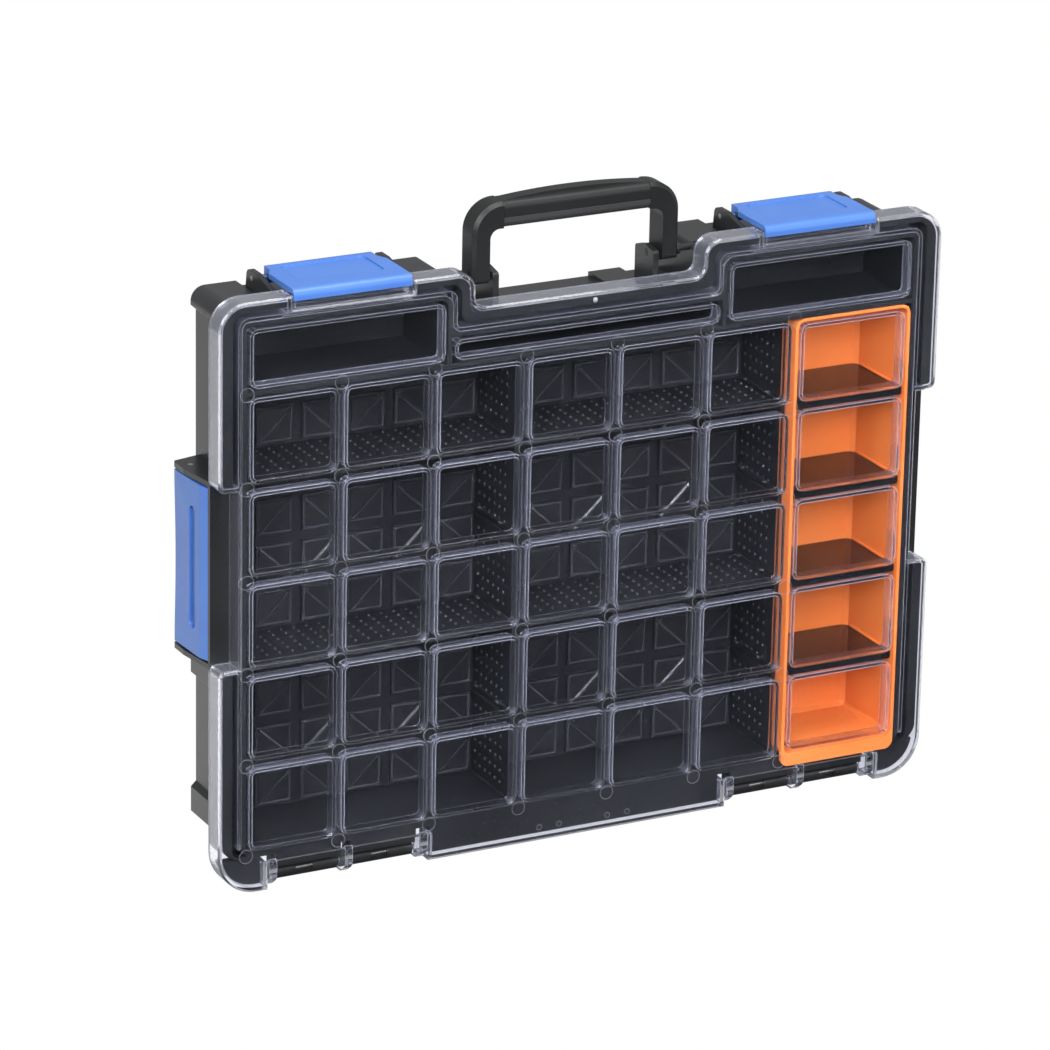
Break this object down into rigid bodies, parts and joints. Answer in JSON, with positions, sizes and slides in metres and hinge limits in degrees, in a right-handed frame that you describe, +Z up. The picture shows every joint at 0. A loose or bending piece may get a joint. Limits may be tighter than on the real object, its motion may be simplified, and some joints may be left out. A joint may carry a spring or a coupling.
{
  "type": "compartment storage box",
  "caption": "Flat carrying case with a clear hinged lid over divided compartments, a lift-out bin, snap latches and a folding handle.",
  "frame": {"origin": "centre of the footprint, level with the feet and the lid's lower edge", "axes": "+X across the box to the right of someone facing the clear lid, +Y from the lid to the back, +Z up towards the handle"},
  "size_m": [0.44, 0.062, 0.3663],
  "materials": {
    "black_plastic": "satin moulded polypropylene",
    "clear_plastic": "clear polished polycarbonate",
    "blue_plastic": "satin moulded plastic",
    "orange_plastic": "satin moulded plastic",
    "soft_grip": "matt soft-touch rubber",
    "steel": "drawn steel wire"
  },
  "bodies": {
    "case": {"tray": "black_plastic", "long_divider_left": "black_plastic", "long_divider_right": "black_plastic", "row_divider_upper_left": "black_plastic", "row_divider_upper_right": "black_plastic", "row_divider_lower_left": "black_plastic", "row_divider_lower_right": "black_plastic", "accessory_bin": "orange_plastic", "bin_divider_1": "black_plastic", "bin_divider_2": "black_plastic", "bin_divider_3": "black_plastic", "bin_divider_4": "black_plastic", "latch_pin_left": "steel", "latch_pin_right": "steel", "side_latch_pin_left": "steel", "side_latch_pin_right": "steel", "handle_pin_left": "black_plastic", "handle_pin_right": "black_plastic", "hinge_pin_left": "steel", "hinge_pin_right": "steel"},
    "lid": {"lid": "clear_plastic"},
    "latch_left": {"latch_left": "blue_plastic"},
    "latch_right": {"latch_right": "blue_plastic"},
    "side_latch_left": {"side_latch_left": "blue_plastic"},
    "side_latch_right": {"side_latch_right": "blue_plastic"},
    "handle": {"handle_frame": "black_plastic", "handle_grip_upper": "black_plastic", "handle_grip_lower": "soft_grip"}
  },
  "joints": [
    {"name": "lid_hinge", "type": "hinge", "parent": "case", "child": "lid", "pos_m": [0, -0.0185, 0.0045], "axis": [1, 0, 0], "range_deg": [0, 180]},
    {"name": "latch_left_hinge", "type": "hinge", "parent": "case", "child": "latch_left", "pos_m": [-0.14025, 0.013, 0.331], "axis": [-1, 0, 0], "range_deg": [0, 100]},
    {"name": "latch_right_hinge", "type": "hinge", "parent": "case", "child": "latch_right", "pos_m": [0.14025, 0.013, 0.331], "axis": [-1, 0, 0], "range_deg": [0, 100]},
    {"name": "side_latch_left_hinge", "type": "hinge", "parent": "case", "child": "side_latch_left", "pos_m": [-0.2139, 0.0133, 0.1795], "axis": [0, 0, -1], "range_deg": [0, 90]},
    {"name": "side_latch_right_hinge", "type": "hinge", "parent": "case", "child": "side_latch_right", "pos_m": [0.2139, 0.0133, 0.1795], "axis": [0, 0, 1], "range_deg": [0, 90]},
    {"name": "handle_swing", "type": "hinge", "parent": "case", "child": "handle", "pos_m": [0, -0.00575, 0.323], "axis": [1, 0, 0], "range_deg": [-90, 90]}
  ]
}
